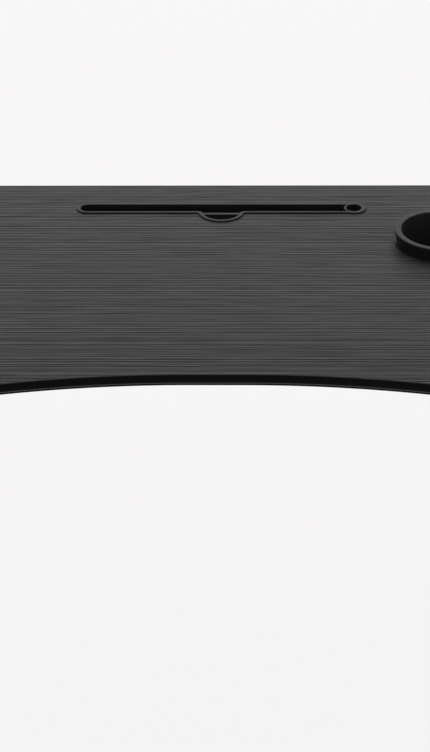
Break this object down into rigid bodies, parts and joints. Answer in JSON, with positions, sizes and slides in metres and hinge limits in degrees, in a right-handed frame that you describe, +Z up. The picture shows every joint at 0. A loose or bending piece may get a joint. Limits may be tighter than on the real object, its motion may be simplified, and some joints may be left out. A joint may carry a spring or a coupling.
{
  "type": "foldable lap desk",
  "caption": "Low laminated lap desk with a hollowed front edge, tablet slot, pen hole, cup well and two steel U legs that fold flat underneath.",
  "frame": {"origin": "on the floor, below the middle of the desktop", "axes": "+X to the user's right, +Y away from the user, +Z up"},
  "size_m": [0.6142, 0.4, 0.2896],
  "materials": {
    "board": "pressed fibreboard, matt",
    "laminate": "charcoal wood-grain laminate with a slight sheen",
    "edge_plastic": "black edge moulding, satin",
    "moulded_plastic": "black moulded plastic, satin",
    "bracket_plastic": "black moulded plastic, fine texture",
    "powder_coat": "black powder coat",
    "zinc_steel": "zinc-plated steel",
    "soft_rubber": "soft matt rubber"
  },
  "bodies": {
    "desktop": {"desktop_board": "board", "top_laminate": "laminate", "edge_band": "edge_plastic", "slot_insert": "moulded_plastic", "cup_holder": "moulded_plastic", "left_front_bracket": "bracket_plastic", "left_front_hinge_pin": "zinc_steel", "left_front_bracket_screw_1": "zinc_steel", "left_front_bracket_screw_2": "zinc_steel", "left_front_bracket_screw_3": "zinc_steel", "left_front_bracket_screw_4": "zinc_steel", "left_rear_bracket": "bracket_plastic", "left_rear_hinge_pin": "zinc_steel", "left_rear_bracket_screw_1": "zinc_steel", "left_rear_bracket_screw_2": "zinc_steel", "left_rear_bracket_screw_3": "zinc_steel", "left_rear_bracket_screw_4": "zinc_steel", "left_leg_clip": "bracket_plastic", "left_front_clip_screw": "zinc_steel", "left_rear_clip_screw": "zinc_steel", "right_front_bracket": "bracket_plastic", "right_front_hinge_pin": "zinc_steel", "right_front_bracket_screw_1": "zinc_steel", "right_front_bracket_screw_2": "zinc_steel", "right_front_bracket_screw_3": "zinc_steel", "right_front_bracket_screw_4": "zinc_steel", "right_rear_bracket": "bracket_plastic", "right_rear_hinge_pin": "zinc_steel", "right_rear_bracket_screw_1": "zinc_steel", "right_rear_bracket_screw_2": "zinc_steel", "right_rear_bracket_screw_3": "zinc_steel", "right_rear_bracket_screw_4": "zinc_steel", "right_leg_clip": "bracket_plastic", "right_front_clip_screw": "zinc_steel", "right_rear_clip_screw": "zinc_steel"},
    "left_leg": {"left_leg_frame": "powder_coat", "left_front_knuckle": "bracket_plastic", "left_front_leg_rivet": "zinc_steel", "left_front_foot_sleeve": "soft_rubber", "left_rear_knuckle": "bracket_plastic", "left_rear_leg_rivet": "zinc_steel", "left_rear_foot_sleeve": "soft_rubber"},
    "right_leg": {"right_leg_frame": "powder_coat", "right_front_knuckle": "bracket_plastic", "right_front_leg_rivet": "zinc_steel", "right_front_foot_sleeve": "soft_rubber", "right_rear_knuckle": "bracket_plastic", "right_rear_leg_rivet": "zinc_steel", "right_rear_foot_sleeve": "soft_rubber"}
  },
  "joints": [
    {"name": "left_leg_fold", "type": "hinge", "parent": "desktop", "child": "left_leg", "pos_m": [-0.262, 0, 0.25361], "axis": [0, -1, 0], "range_deg": [0, 98]},
    {"name": "right_leg_fold", "type": "hinge", "parent": "desktop", "child": "right_leg", "pos_m": [0.262, 0, 0.25361], "axis": [0, 1, 0], "range_deg": [0, 98]}
  ]
}
